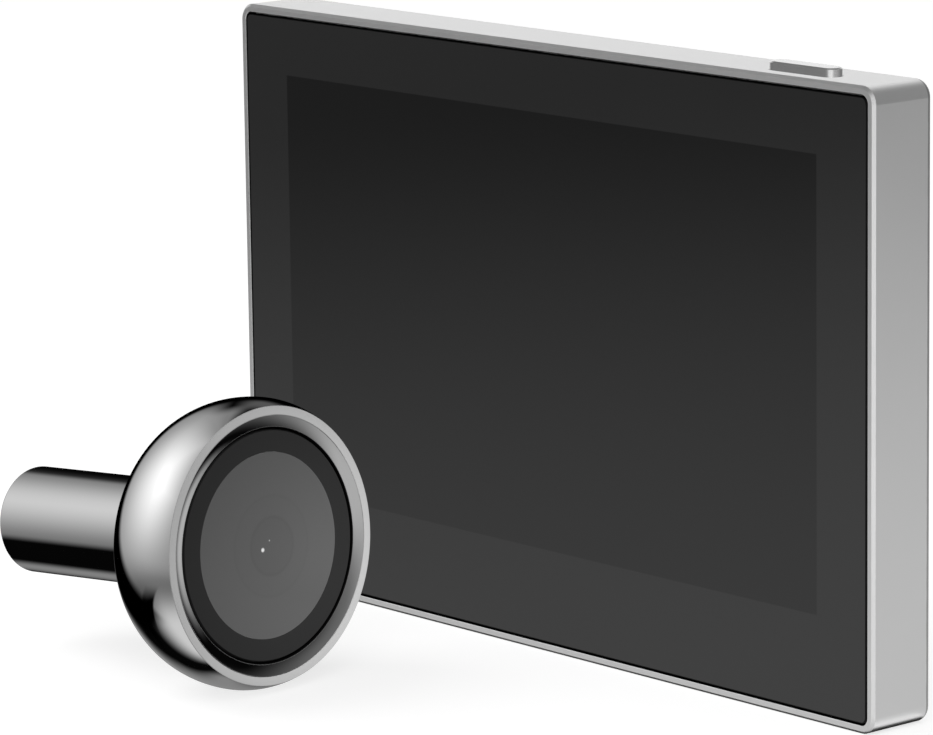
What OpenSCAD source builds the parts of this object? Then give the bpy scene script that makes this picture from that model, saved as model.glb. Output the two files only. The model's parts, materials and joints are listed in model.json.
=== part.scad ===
// Peephole door camera: an indoor screen unit with its door bracket, and the round camera that goes
// through the door. Millimetres, +Z up. The origin is on the floor, under the middle of the screen
// unit's base. +X is to the right of a person facing the screen and +Y points into the screen.

/* [Screen unit] */
// Width of the screen unit
unit_w = 132; // [126:0.5:146]
// Height of the screen unit
unit_h = 87; // [84:0.5:98]
// Depth of the screen unit, from the glass to the back
unit_d = 11; // [10.6:0.1:14]
// Radius of the four upright corners
corner_r = 2.4; // [2:0.1:4]
// Width of the flat lip round the glass
lip_w = 0.7; // [0.5:0.05:1]
// Bright bevel between the lip and the sides
bevel = 0.4; // [0.2:0.05:0.5]
// Wall of the frame behind the glass
frame_wall = 1.5; // [1.2:0.1:1.8]
// Part of the rear cover that shows behind the frame
cover_rim = 1; // [0.8:0.1:1.2]
// Thickness of the rear cover
cover_t = 1.4; // [1.3:0.1:1.8]
// Play between the rear cover and the frame
cover_play = 0.15; // [0.1:0.05:0.3]

/* [Glass and display] */
// Thickness of the cover glass
glass_t = 1.1; // [0.8:0.1:1.5]
// Gap between the glass and the lip
glass_gap = 0.35; // [0.2:0.05:0.5]
// Small bevel on the edge of the glass
glass_bevel = 0.15; // [0.1:0.05:0.3]
// Thickness of the tape under the glass
tape_t = 0.2; // [0.1:0.05:0.4]
// Width of the shelf that carries the glass
shelf_w = 2.5; // [2:0.1:3]
// Thickness of that shelf
shelf_t = 1; // [0.8:0.1:1.2]
// Dark border beside the picture
border_side = 9.2; // [8.9:0.1:12]
// Dark border above the picture
border_top = 8.4; // [8.2:0.1:11]
// Dark border below the picture
border_bottom = 13.4; // [12.4:0.1:16]
// Edge of the display cell beside the picture
cell_side = 3.4; // [2.5:0.1:3.6]
// Edge of the display cell above the picture
cell_top = 3; // [2:0.1:3.2]
// Edge of the display cell below the picture
cell_bottom = 5.7; // [4:0.1:6]
// Thickness of the display cell
cell_t = 1; // [0.8:0.1:1.2]
// Thickness of the light guide
guide_t = 1.4; // [1:0.1:1.5]
// Sheet thickness of the backlight tray
tray_t = 0.4; // [0.3:0.05:0.5]

/* [Power key] */
// Length of the key on the top edge
key_l = 12.5; // [10:0.5:16]
// Width of the key
key_w = 3; // [2.4:0.1:3]
// Height of the key above the top edge
key_rise = 1.2; // [0.6:0.1:1.6]
// Bevel round the top of the key
key_bevel = 0.2; // [0.1:0.05:0.4]
// From the right side to the end of the key
key_inset = 10.4; // [9.6:0.2:30]
// From the front to the middle of the key
key_depth = 4; // [4:0.1:4.6]
// Travel of the key
key_travel = 0.4; // [0.2:0.05:0.5]
// Play of the key in its slot
key_play = 0.15; // [0.1:0.05:0.2]
// Thickness of the flange that holds the key in
key_flange_t = 0.9; // [0.6:0.1:1]
// Reach of that flange past each end of the key
key_flange = 1; // [0.6:0.1:1.4]
// Width of the switch under the key
switch_w = 6; // [5:0.5:8]
// Height of the switch body
switch_h = 2.6; // [2:0.1:2.8]
// Diameter of the switch plunger
plunger_d = 1.2; // [1:0.1:1.2]

/* [Board and battery] */
// Height of the main board
board_h = 22; // [20:0.5:24]
// Thickness of the main board
board_t = 1; // [0.8:0.1:1.2]
// Length of the posts that carry the board
post_l = 3.4; // [3.3:0.1:3.8]
// Diameter of those posts
post_d = 4.4; // [3.6:0.1:5]
// From the end of the board to its posts
post_inset = 10; // [9.5:0.5:14]
// Width of the battery
battery_w = 60; // [40:1:64]
// Thickness of the battery
battery_t = 4.6; // [3.6:0.1:4.7]
// Thickness of the pad behind the battery
pad_t = 0.3; // [0.2:0.05:0.5]
// Width of the speaker
speaker_w = 14; // [10:0.5:15]
// Height of the speaker
speaker_h = 24; // [20:0.5:30]
// Thickness of the speaker
speaker_t = 3.6; // [3:0.1:4]
// Thickness of the speaker gasket
gasket_t = 0.3; // [0.2:0.05:0.5]
// Diameter of a grille hole
grille_d = 1.4; // [1:0.1:1.8]
// Spacing of the grille holes
grille_step = 3; // [2.5:0.1:3.4]
// Width of the charging socket
charge_w = 9; // [8.6:0.1:9.6]
// Height of the charging socket
charge_h = 3.2; // [3:0.1:3.2]
// Length of the charging socket
charge_l = 7.3; // [6.5:0.1:7.6]
// Width of the camera lead's socket
lead_w = 11; // [9:0.5:14]
// Height of the camera lead's socket
lead_h = 7.2; // [7:0.1:9]
// Diameter of the screws
screw_d = 2; // [1.6:0.1:2.2]
// Diameter of the screw heads
screw_head_d = 3.6; // [3:0.1:3.6]
// Height of the screw heads
screw_head_h = 0.8; // [0.6:0.05:0.9]
// From each side to the corner screws
boss_inset = 3.9; // [3.7:0.1:4.2]
// Diameter of the bosses at the corners
boss_d = 5; // [4.4:0.1:5]

/* [Door bracket] */
// Width of the bracket
plate_w = 84; // [78:0.5:86]
// Height of the bracket
plate_h = 56; // [52:0.5:60]
// Sheet thickness of the bracket
plate_t = 1.2; // [1:0.1:1.5]
// Room for the lead between the bracket and the screen unit
plate_gap = 5; // [4.8:0.1:8]
// Diameter of the hole for the clamping bolt
plate_bore_d = 12.4; // [10:0.2:16]
// Diameter of the screw holes
plate_hole_d = 3.6; // [3:0.1:4.5]
// Spacing of the screw holes across
plate_hole_x = 60; // [54:0.5:64]
// Spacing of the screw holes up
plate_hole_y = 40; // [30:0.5:42]
// Height of a hook's neck
hook_neck = 3; // [2:0.1:4]
// Height of a hook's lip, which is how far the bracket slides to come off
hook_lip = 4; // [3:0.1:5]
// Spacing of the two hooks on a side
hook_step = 32; // [28:0.5:34]
// Play round the hooks
hook_play = 0.3; // [0.2:0.05:0.5]
// Width of a tape strip on the bracket
strip_w = 12; // [8:0.5:14]
// Thickness of that tape
strip_t = 0.8; // [0.5:0.1:1.2]

/* [Door camera] */
// Largest diameter of the head
head_d = 40.6; // [38:0.2:46]
// Depth of the head, from the lip to its back
head_depth = 16.4; // [16.2:0.2:20]
// From the lip to the widest place
bulge_depth = 4.3; // [3.6:0.1:5]
// Diameter of the flat back
back_d = 22; // [21.6:0.2:25]
// Outer diameter of the front lip
lip_d = 38.6; // [37.8:0.1:40]
// Inner diameter of the front lip
lip_in_d = 36.2; // [35.8:0.1:36.8]
// Diameter of the dark disc
disc_d = 32.5; // [32:0.1:33]
// Depth of the dish round the disc
dish_depth = 0.6; // [0.4:0.05:1]
// Diameter of the window
window_d = 25.8; // [24:0.1:27]
// How far the window's edge stands out of the disc
window_step = 0.25; // [0.1:0.05:0.4]
// Rise of the window's dome
window_rise = 0.5; // [0.3:0.05:0.8]
// Wall of the head
head_wall = 1.8; // [1.5:0.1:2]
// Outer diameter of the tube
tube_d = 15.2; // [14:0.1:15.4]
// Length of the tube behind the head
tube_l = 31.4; // [26:0.2:60]
// Diameter of the tube's collar, where it passes through the head
collar_d = 16; // [15.4:0.1:16.4]
// Bore of the tube
tube_bore_d = 9; // [8:0.1:9.4]
// Diameter inside the thread at the end of the tube
thread_d = 10.4; // [10:0.1:11.4]
// Length of that thread
thread_l = 16; // [10:0.5:20]
// Thickness of the soft ring behind the head
ring_t = 1; // [0.6:0.1:1.6]
// Diameter of the lens barrel
barrel_d = 10; // [9:0.1:11]
// Length of the lens barrel
barrel_l = 6; // [5:0.1:6.2]
// Diameter of the front lens
lens_d = 5.4; // [4.6:0.1:6.4]
// Radius of the circle of lamps
lamp_ring_r = 9.2; // [8.6:0.1:9.6]
// Number of lamps
lamp_count = 6; // [4:1:8]

/* [Where the camera stands] */
// The middle of the front lip, to the right of the screen's middle
camera_x = -8.5; // [-40:0.5:40]
// The middle of the front lip, in front of the screen
camera_front = 42; // [36:0.5:80]
// Turn of the camera away from the screen's own right
camera_turn = 5.8; // [0:0.2:12]
// Tilt of the lens upwards
camera_tilt = 3.6; // [0:0.2:8]

/* [Hidden] */
$fn = 96;
// small clearance of fixed pieces that fit round each other
snug = 0.05;
// clear space kept between neighbours inside the casing
room = 0.2;

// screen unit, depths counted from the front face
open_w = unit_w - 2 * (lip_w + bevel);
open_h = unit_h - 2 * (lip_w + bevel);
open_r = corner_r - lip_w - bevel;
glass_w = open_w - 2 * glass_gap;
glass_h = open_h - 2 * glass_gap;
glass_r = open_r - glass_gap;
pocket_d = glass_t + tape_t;
shelf_d = pocket_d + shelf_t;
shelf_open_w = open_w - 2 * shelf_w;
shelf_open_h = open_h - 2 * shelf_w;
cavity_w = unit_w - 2 * frame_wall;
cavity_h = unit_h - 2 * frame_wall;
cavity_r = corner_r - frame_wall;
cavity_top = unit_h - frame_wall;
frame_d = unit_d - cover_rim;
cover_in = unit_d - cover_t;
mid_y = unit_h / 2;

// display
picture_w = glass_w - 2 * border_side;
cell_w = picture_w + 2 * cell_side;
cell_y0 = mid_y - glass_h / 2 + border_bottom - cell_bottom;
cell_y1 = mid_y + glass_h / 2 - border_top + cell_top;
cell_h = cell_y1 - cell_y0;
cell_d = glass_t + cell_t;
guide_d = cell_d + guide_t;
tray_d = guide_d + tray_t;
flex_w = 24;
flex_t = 0.15;
flex_d = tray_d + 0.1;
flex_drop = 1.2;

// corner bosses and their screws
boss_x = unit_w / 2 - boss_inset;
boss_low = boss_inset;
boss_high = unit_h - boss_inset;
screw_l = 4.5;
head_sink = screw_head_h + snug;

// main board, hung on the rear cover
board_back = cover_in - post_l;
board_front = board_back - board_t;
board_x = cavity_w / 2 - 1;
board_top = boss_high - boss_d / 2 - room;
board_low = board_top - board_h;
board_mid = (board_top + board_low) / 2;
post_x = board_x - post_inset;
post_low = board_low + 3;
post_high = board_top - 3;
board_screw_l = 2.6;
charge_x = -(unit_w / 2 - 0.8);
charge_play = 0.2;
charge_wall = 0.3;
charge_back = board_back + charge_h;
lead_wall = 1.2;
lead_floor = 0.8;
lead_back = cover_in - room;
can_x = 14;
can_w = 22;
can_h = 17;
can_t = 2.2;
can_wall = 0.3;
chip_step = 10;
chip_w = 8;
chip_t = 1.2;
flex_socket_h = 4;

// power key and its switch
key_x = unit_w / 2 - key_inset - key_l / 2;
key_flange_top = cavity_top - 0.1;
key_flange_low = key_flange_top - key_flange_t;
switch_front = tray_d + room;
switch_wall = 0.4;
plunger_depth = switch_front + switch_wall + plunger_d / 2 + snug;
switch_top = board_top + switch_h;
plunger_low = switch_top - key_travel - 0.6;
well_low = plunger_low - key_travel - 0.2;

// battery, speaker and antenna
battery_x = -8;
battery_low = mid_y - cavity_h / 2 + 4;
battery_gap = 3;
battery_high = board_low - battery_gap;
battery_back = cover_in - pad_t;
lead_strip_w = 6;
speaker_x = cavity_w / 2 - 5 - speaker_w / 2;
speaker_y = battery_low + 18;
speaker_back = cover_in - gasket_t;
speaker_corner = 3;
gasket_w = 1.2;
gasket_corner = 2;
grille_rows = [-2, -1, 0, 1, 2];
grille_columns = [-1, 0, 1];
antenna_x = -(cavity_w / 2 - 11);
antenna_w = 10;
antenna_h = 30;
antenna_t = 0.2;

// door bracket
plate_mid = mid_y + 2.5;
plate_front = unit_d + plate_gap;
plate_back = plate_front + plate_t;
hook_x = plate_w / 2 - plate_t / 2;
hook_back = cover_in - hook_play;
hook_front = hook_back - plate_t;
hook_travel = hook_lip + 1;
strip_x = plate_hole_x / 2 - plate_hole_d / 2 - strip_w / 2 - 3;
strip_h = plate_h - 6;

// door camera, along its own axis: z = 0 at the lip and the lens looks along +z
bulge_r = head_d / 2;
back_r = back_d / 2;
arc_steps = 24;
inner_back = head_depth - head_wall;
inner_r = bulge_r - head_wall;
bezel_depth = 2.2;
flange_t = 0.8;
seal_t = 0.6;
disc_back = bezel_depth + flange_t;
seal_back = disc_back + seal_t;
lamp_board_t = 0.8;
lamp_board_back = seal_back + lamp_board_t;
lamp_board_r = lip_in_d / 2 - 1.2;
shoulder_r = lamp_board_r - 1.1;
window_r = window_d / 2;
window_edge = dish_depth - window_step;
window_skin = 1.2;
window_flange_r = window_r + 1;
window_recess_r = window_r - 1;
lamp_w = 2.8;
lamp_t = 1;
barrel_front = window_edge + window_skin + 0.5;
barrel_back = barrel_front + barrel_l;
holder_grip = 2;
holder_wall = 2;
holder_ledge = 0.8;
focus_gap = 1.2;
holder_front = barrel_back - holder_grip;
sensor_board_front = barrel_back + focus_gap;
sensor_board_t = 0.8;
sensor_board_back = sensor_board_front + sensor_board_t;
sensor_board_r = inner_r - 3.9;
sensor_w = 5;
sensor_t = 0.6;
spacer_r = 11.6;
spacer_d = 3;
spacer_count = 3;
spacer_angle = 30;
link_d = 1.6;
collar_r = collar_d / 2;
flange_r = collar_r + 2.4;
inner_flat = flange_r + room;
tube_seal_t = 0.4;
tube_flange_t = 1;
tube_flange_back = inner_back - tube_seal_t;
tube_flange_front = tube_flange_back - tube_flange_t;
tube_end = head_depth + tube_l;
tube_chamfer = 0.4;
flange_screw_r = (collar_r + flange_r) / 2;
flange_screw_d = 1.4;
flange_screw_head = 2.2;
flange_screw_count = 3;
tapped_depth = 1.2;
grommet_flange = 0.8;
grommet_l = 3;
grommet_hole_d = 3.2;
camera_lead_w = 7;
camera_lead_h = 3;
camera_lead_t = 2;
camera_lead_y = flange_r + room + camera_lead_h / 2;

// height at which the tilted head just touches the floor
back_a = head_depth - bulge_depth;
back_b = bulge_r - back_r;
camera_z = back_r * cos(camera_tilt) + bulge_depth * sin(camera_tilt)
    + sqrt(pow(back_b * cos(camera_tilt), 2) + pow(back_a * sin(camera_tilt), 2));
camera_y = -unit_d / 2 - camera_front;

// Front view: x to the right, y up from the floor, z towards the viewer.
module from_front() {
    rotate([90, 0, 0]) children();
}

// A flat outline made solid between two depths behind the front face.
module between(d0, d1) {
    translate([0, 0, unit_d / 2 - d1]) linear_extrude(d1 - d0) children();
}

// An outline in x and depth made solid between two heights.
module upright(y0, y1) {
    translate([0, y0, unit_d / 2]) rotate([-90, 0, 0]) linear_extrude(y1 - y0) children();
}

// An outline in height and depth made solid between two places across.
module across(x0, x1) {
    translate([x0, 0, unit_d / 2]) rotate([90, 0, 90]) linear_extrude(x1 - x0)
        mirror([0, 1]) children();
}

module rounded(w, h, r) {
    square([w - 2 * r, h], center = true);
    square([w, h - 2 * r], center = true);
    for (sx = [-1, 1], sy = [-1, 1])
        translate([sx * (w / 2 - r), sy * (h / 2 - r)]) circle(r);
}

module stadium(l, w) {
    square([l - w, w], center = true);
    for (s = [-1, 1]) translate([s * (l - w) / 2, 0]) circle(w / 2);
}

// A rounded slab whose rim follows an edge line: pairs of inset and depth, front to back.
module rimmed(w, h, r, edge) {
    first = edge[0][1];
    last = edge[len(edge) - 1][1];
    back = [for (i = [len(edge) - 1 : -1 : 0]) edge[i]];
    translate([0, mid_y, unit_d / 2]) {
        for (sx = [-1, 1], sy = [-1, 1])
            translate([sx * (w / 2 - r), sy * (h / 2 - r), 0])
                rotate_extrude()
                    polygon(concat([[0, -first]], [for (p = edge) [r - p[0], -p[1]]], [[0, -last]]));
        rotate([90, 0, 90]) linear_extrude(w - 2 * r, center = true)
            polygon(concat([for (p = edge) [h / 2 - p[0], -p[1]]],
                           [for (p = back) [p[0] - h / 2, -p[1]]]));
        rotate([90, 0, 0]) linear_extrude(h - 2 * r, center = true)
            polygon(concat([for (p = edge) [w / 2 - p[0], -p[1]]],
                           [for (p = back) [p[0] - w / 2, -p[1]]]));
    }
}

// A plain rounded slab in the middle of the front view.
module slab(w, h, r, d0, d1) {
    between(d0, d1) translate([0, mid_y]) rounded(w, h, r);
}

module corner_places() {
    for (x = [-boss_x, boss_x], y = [boss_low, boss_high]) translate([x, y]) children();
}

module post_places() {
    for (x = [-post_x, post_x], y = [post_low, post_high]) translate([x, y]) children();
}

module hook_places() {
    for (x = [-hook_x, hook_x], y = [-hook_step / 2, hook_step / 2])
        translate([x, plate_mid + y, 0]) children();
}

// The camera's own axis, stood on the floor where the photograph shows it.
module on_camera_axis() {
    translate([camera_x, camera_y, camera_z]) rotate([0, 90 - camera_tilt, camera_turn]) children();
}

// A ring about the camera's axis between two depths behind the lip.
module ring(r_in, r_out, d0, d1) {
    translate([0, 0, -d1]) difference() {
        cylinder(r = r_out, h = d1 - d0);
        translate([0, 0, -1]) cylinder(r = r_in, h = d1 - d0 + 2);
    }
}

module disc(r, d0, d1) {
    translate([0, 0, -d1]) cylinder(r = r, h = d1 - d0);
}

module around(count, r, start = 0) {
    for (i = [0 : count - 1]) rotate(start + i * 360 / count) translate([r, 0, 0]) children();
}

// Screen unit: the silver frame with its lip, shelf, corner bosses and openings.
module frame() color("silver") from_front() {
    difference() {
        rimmed(unit_w, unit_h, corner_r, [[bevel, 0], [0, bevel], [0, frame_d]]);
        slab(open_w, open_h, open_r, -1, pocket_d);
        slab(shelf_open_w, shelf_open_h, open_r, 0, shelf_d + 1);
        slab(cavity_w, cavity_h, cavity_r, shelf_d, frame_d + 1);
        upright(cavity_top - 1, unit_h + 1)
            translate([key_x, key_depth]) stadium(key_l + 2 * key_play, key_w + 2 * key_play);
        across(-unit_w / 2 - 1, -cavity_w / 2 + 1)
            translate([board_mid, board_back + charge_h / 2])
                stadium(charge_w + 2 * charge_play, charge_h + 2 * charge_play);
    }
    intersection() {
        between(shelf_d, cover_in) corner_places() difference() {
            circle(d = boss_d);
            circle(d = screw_d + 2 * snug);
        }
        slab(unit_w - frame_wall, unit_h - frame_wall, cavity_r, shelf_d, cover_in);
    }
}

module cover_glass() color([0.1, 0.1, 0.11]) from_front()
    rimmed(glass_w, glass_h, glass_r, [[glass_bevel, 0], [0, glass_bevel], [0, glass_t]]);

module glass_tape() color("black") from_front() difference() {
    slab(glass_w, glass_h, glass_r, glass_t, pocket_d);
    slab(shelf_open_w + 2 * room, shelf_open_h + 2 * room, open_r, 0, pocket_d + 1);
}

module cell_outline() {
    translate([-cell_w / 2, cell_y0]) square([cell_w, cell_h]);
}

module inner_cell_outline() {
    translate([-cell_w / 2 + tray_t + snug, cell_y0 + tray_t + snug])
        square([cell_w - 2 * (tray_t + snug), cell_h - 2 * (tray_t + snug)]);
}

module display_cell() color([0.07, 0.07, 0.08]) from_front() between(glass_t, cell_d) cell_outline();

module light_guide() color("white") from_front() between(cell_d, guide_d) inner_cell_outline();

module backlight_tray() color("lightgray") from_front() difference() {
    between(cell_d, tray_d) cell_outline();
    between(cell_d - 1, guide_d) translate([-cell_w / 2 + tray_t, cell_y0 + tray_t])
        square([cell_w - 2 * tray_t, cell_h - 2 * tray_t]);
}

// Ribbon from the foot of the display, round the tray and up to the board.
module display_flex() color("orange") from_front() {
    foot = cell_y0 - flex_drop;
    start = glass_t + cell_t / 2;
    across(-flex_w / 2, flex_w / 2) polygon([
        [cell_y0, start], [foot, start], [foot, flex_d + flex_t],
        [board_low + flex_socket_h, flex_d + flex_t], [board_low + flex_socket_h, flex_d],
        [foot + flex_t, flex_d], [foot + flex_t, start + flex_t], [cell_y0, start + flex_t]
    ]);
}

module flex_socket() color("ivory") from_front() between(flex_d + flex_t, board_front)
    translate([-flex_w / 2, board_low]) square([flex_w, flex_socket_h]);

module main_board() color("darkgreen") from_front() between(board_front, board_back) difference() {
    translate([-board_x, board_low]) square([2 * board_x, board_h]);
    post_places() circle(d = screw_d + 2 * snug);
}

module board_chips() color("black") from_front() between(board_back, board_back + chip_t)
    for (i = [0, 1]) translate([can_x + 2 + i * chip_step, board_mid - chip_w / 2]) square(chip_w);

module shield_can() color("lightgray") from_front() difference() {
    between(board_back, board_back + can_t) translate([can_x, board_mid - can_h / 2])
        square([can_w, can_h]);
    between(board_back - 1, board_back + can_t - can_wall)
        translate([can_x + can_wall, board_mid - can_h / 2 + can_wall])
            square([can_w - 2 * can_wall, can_h - 2 * can_wall]);
}

module camera_lead_socket() color("ivory") from_front() translate([0, board_mid, 0]) difference() {
    between(board_back, lead_back) square([lead_w, lead_h], center = true);
    between(board_back + lead_floor, lead_back + 1)
        square([lead_w - 2 * lead_wall, lead_h - 2 * lead_wall], center = true);
}

module charging_socket() color("gainsboro") from_front() {
    middle = [board_mid, board_back + charge_h / 2];
    difference() {
        across(charge_x, charge_x + charge_l) translate(middle) stadium(charge_w, charge_h);
        across(charge_x - 1, charge_x + charge_l - charge_wall) translate(middle)
            stadium(charge_w - 2 * charge_wall, charge_h - 2 * charge_wall);
    }
    across(charge_x + 1, charge_x + charge_l - charge_wall) translate(middle)
        square([charge_w - charge_h, 0.7], center = true);
}

module key_switch() color("dimgray") from_front() difference() {
    between(switch_front, board_back) translate([key_x - switch_w / 2, board_top])
        square([switch_w, switch_h]);
    upright(well_low, switch_top + 1) translate([key_x, plunger_depth]) circle(d = plunger_d + 2 * snug);
}

// The bevelled top of the key, from the foot of the bevel up.
module key_top() {
    half = key_w / 2;
    run = key_l - key_w;
    for (s = [-1, 1]) translate([s * run / 2, 0, 0]) rotate([-90, 0, 0])
        rotate_extrude() polygon([[0, 0], [half, 0], [half - key_bevel, key_bevel], [0, key_bevel]]);
    translate([-run / 2, 0, 0]) rotate([90, 0, 90]) linear_extrude(run)
        polygon([[0, -half], [0, half], [key_bevel, half - key_bevel], [key_bevel, key_bevel - half]]);
}

module power_key() color("gray") from_front() {
    flange_back = plunger_depth + plunger_d / 2 + room;
    upright(key_flange_top, unit_h + key_rise - key_bevel)
        translate([key_x, key_depth]) stadium(key_l, key_w);
    translate([key_x, unit_h + key_rise - key_bevel, unit_d / 2 - key_depth]) key_top();
    upright(key_flange_low, key_flange_top)
        translate([key_x - key_l / 2 - key_flange, key_depth - key_w / 2])
            square([key_l + 2 * key_flange, flange_back - key_depth + key_w / 2]);
}

module switch_plunger() color("black") from_front()
    upright(plunger_low, key_flange_low) translate([key_x, plunger_depth]) circle(d = plunger_d);

module battery() color("slategray") from_front() between(battery_back - battery_t, battery_back)
    translate([battery_x - battery_w / 2, battery_low]) square([battery_w, battery_high - battery_low]);

module battery_pad() color("white") from_front() between(battery_back, cover_in)
    translate([battery_x - battery_w / 2 + 2, battery_low + 2])
        square([battery_w - 4, battery_high - battery_low - 4]);

module battery_lead() color("firebrick") from_front() between(board_front + snug, board_back - snug)
    translate([battery_x - lead_strip_w / 2, battery_high]) square([lead_strip_w, battery_gap]);

module speaker() color("black") from_front() between(speaker_back - speaker_t, speaker_back)
    translate([speaker_x, speaker_y]) rounded(speaker_w, speaker_h, speaker_corner);

module speaker_gasket() color("dimgray") from_front() between(speaker_back, cover_in)
    translate([speaker_x, speaker_y]) difference() {
        rounded(speaker_w, speaker_h, speaker_corner);
        rounded(speaker_w - 2 * gasket_w, speaker_h - 2 * gasket_w, gasket_corner);
    }

module antenna() color("goldenrod") from_front() between(cover_in - antenna_t, cover_in)
    translate([antenna_x - antenna_w / 2, battery_low]) square([antenna_w, antenna_h]);

// Rear cover with its rounded rim, posts for the board, hook slots, lead window and speaker grille.
module rear_cover() color("silver") from_front() {
    rim = [for (i = [0 : 8]) [cover_rim * (1 - cos(i * 90 / 8)), frame_d + cover_rim * sin(i * 90 / 8)]];
    slot_h = hook_play + hook_neck + hook_travel + hook_play;
    difference() {
        union() {
            rimmed(unit_w, unit_h, corner_r, rim);
            slab(cavity_w - 2 * cover_play, cavity_h - 2 * cover_play, cavity_r, cover_in, frame_d + 0.1);
            between(board_back, cover_in + 0.1) post_places() circle(d = post_d);
        }
        between(cover_in - 1, unit_d + 1) {
            corner_places() circle(d = screw_d + 2 * snug);
            translate([0, board_mid]) square([lead_w + 1, lead_h + 1], center = true);
            translate([speaker_x, speaker_y]) for (i = grille_columns, j = grille_rows)
                translate([i * grille_step, j * grille_step]) circle(d = grille_d);
        }
        between(unit_d - head_sink, unit_d + 1) corner_places() circle(d = screw_head_d + 2 * snug);
        between(board_back - 1, board_back + board_screw_l) post_places() circle(d = screw_d + 2 * snug);
        hook_places() between(cover_in - 1, unit_d + 1)
            translate([-plate_t / 2 - hook_play, hook_neck + hook_play - slot_h])
                square([plate_t + 2 * hook_play, slot_h]);
    }
}

// A cross-head screw pointing to the front, its head's back face at the given depth.
module screw(head_back, length) {
    between(head_back - screw_head_h, head_back) difference() {
        circle(d = screw_head_d);
        square([screw_head_d * 0.6, 0.5], center = true);
        square([0.5, screw_head_d * 0.6], center = true);
    }
    between(head_back - screw_head_h - 0.01, head_back - screw_head_h / 2) circle(d = screw_d);
    between(head_back - screw_head_h - length, head_back - screw_head_h) circle(d = screw_d);
}

module cover_screws() color("dimgray") from_front()
    for (x = [-boss_x, boss_x], y = [boss_low, boss_high]) translate([x, y, 0]) screw(unit_d - snug, screw_l);

module board_screws() color("dimgray") from_front()
    for (x = [-post_x, post_x], y = [post_low, post_high]) translate([x, y, 0]) {
        between(board_front - screw_head_h, board_front) circle(d = screw_head_d);
        between(board_front - 0.01, board_back + board_screw_l - room) circle(d = screw_d);
    }

// Door bracket: a sheet with two bent sides, four hooks, a bolt hole and four screw holes.
module door_bracket() color("gainsboro") from_front() {
    between(plate_front, plate_back) difference() {
        translate([0, plate_mid]) rounded(plate_w, plate_h, 2);
        translate([0, plate_mid]) circle(d = plate_bore_d);
        for (x = [-1, 1], y = [-1, 1])
            translate([x * plate_hole_x / 2, plate_mid + y * plate_hole_y / 2]) circle(d = plate_hole_d);
    }
    for (x = [-hook_x, hook_x]) across(x - plate_t / 2, x + plate_t / 2)
        translate([plate_mid - plate_h / 2 + 2, unit_d + hook_play])
            square([plate_h - 4, plate_gap - hook_play + 0.01]);
    hook_places() across(-plate_t / 2, plate_t / 2) {
        translate([0, hook_front]) square([hook_neck, unit_d + hook_play + 0.01 - hook_front]);
        translate([0, hook_front]) square([hook_neck + hook_lip, plate_t]);
    }
}

module bracket_tape() color("white") from_front() between(plate_back, plate_back + strip_t)
    for (x = [-strip_x, strip_x]) translate([x, plate_mid]) rounded(strip_w, strip_h, 1);

// Door camera: the polished bowl-shaped head, turned about the camera's axis.
function back_arc(r_flat, r_wide, d_end) = [for (i = [0 : arc_steps])
    [r_flat + (r_wide - r_flat) * cos(i * 90 / arc_steps),
     -bulge_depth - (d_end - bulge_depth) * sin(i * 90 / arc_steps)]];

module head_shell() color("silver") on_camera_axis() difference() {
    rotate_extrude() polygon(concat(
        [[0, 0], [lip_d / 2, 0]],
        [for (i = [1 : 8]) [lip_d / 2 + (bulge_r - lip_d / 2) * sin(i * 90 / 9),
                            -bulge_depth * (1 - cos(i * 90 / 9))]],
        back_arc(back_r, bulge_r, head_depth),
        [[0, -head_depth]]));
    translate([0, 0, -bezel_depth]) cylinder(d = lip_in_d, h = bezel_depth + 1);
    translate([0, 0, -lamp_board_back]) cylinder(r = lamp_board_r + snug, h = lamp_board_back);
    rotate_extrude() polygon(concat(
        [[0, -lamp_board_back + 1], [shoulder_r, -lamp_board_back + 1], [shoulder_r, -lamp_board_back - 1]],
        [for (p = back_arc(inner_flat, inner_r, inner_back)) if (p[1] < -lamp_board_back - 1.5) p],
        [[0, -inner_back]]));
    translate([0, 0, -head_depth - 1]) cylinder(r = collar_r + snug, h = head_depth);
    around(flange_screw_count, flange_screw_r) translate([0, 0, -inner_back - tapped_depth])
        cylinder(d = flange_screw_d + 2 * snug, h = tapped_depth + 1);
}

module bezel_ring() color("gray") on_camera_axis() rotate_extrude() polygon([
    [lip_in_d / 2 - snug, 0], [lip_in_d / 2 - snug, -bezel_depth],
    [disc_d / 2 + snug, -bezel_depth], [disc_d / 2 + snug, -dish_depth]
]);

module front_disc() color([0.12, 0.12, 0.13]) on_camera_axis() rotate_extrude() polygon([
    [window_r + snug, -dish_depth], [disc_d / 2 - snug, -dish_depth], [disc_d / 2 - snug, -bezel_depth],
    [lamp_board_r - snug, -bezel_depth], [lamp_board_r - snug, -disc_back],
    [window_flange_r + snug, -disc_back], [window_flange_r + snug, -bezel_depth],
    [window_r + snug, -bezel_depth]
]);

// A low dome on a short skirt, held by a flange behind the disc.
module window() color([0.35, 0.35, 0.36]) on_camera_axis() rotate_extrude() {
    dome_r = (pow(window_r, 2) + pow(window_rise, 2)) / (2 * window_rise);
    dome_angle = asin(window_r / dome_r);
    polygon(concat(
        [for (i = [0 : 10]) [dome_r * sin(dome_angle * i / 10),
                             window_rise - window_edge - dome_r * (1 - cos(dome_angle * i / 10))]],
        [[window_r, -bezel_depth], [window_flange_r, -bezel_depth], [window_flange_r, -disc_back],
         [window_recess_r, -disc_back], [window_recess_r, -window_edge - window_skin],
         [0, -window_edge - window_skin]]));
}

module window_seal() color("black") on_camera_axis()
    ring(window_recess_r, lamp_board_r - 0.5, disc_back, seal_back);

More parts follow.
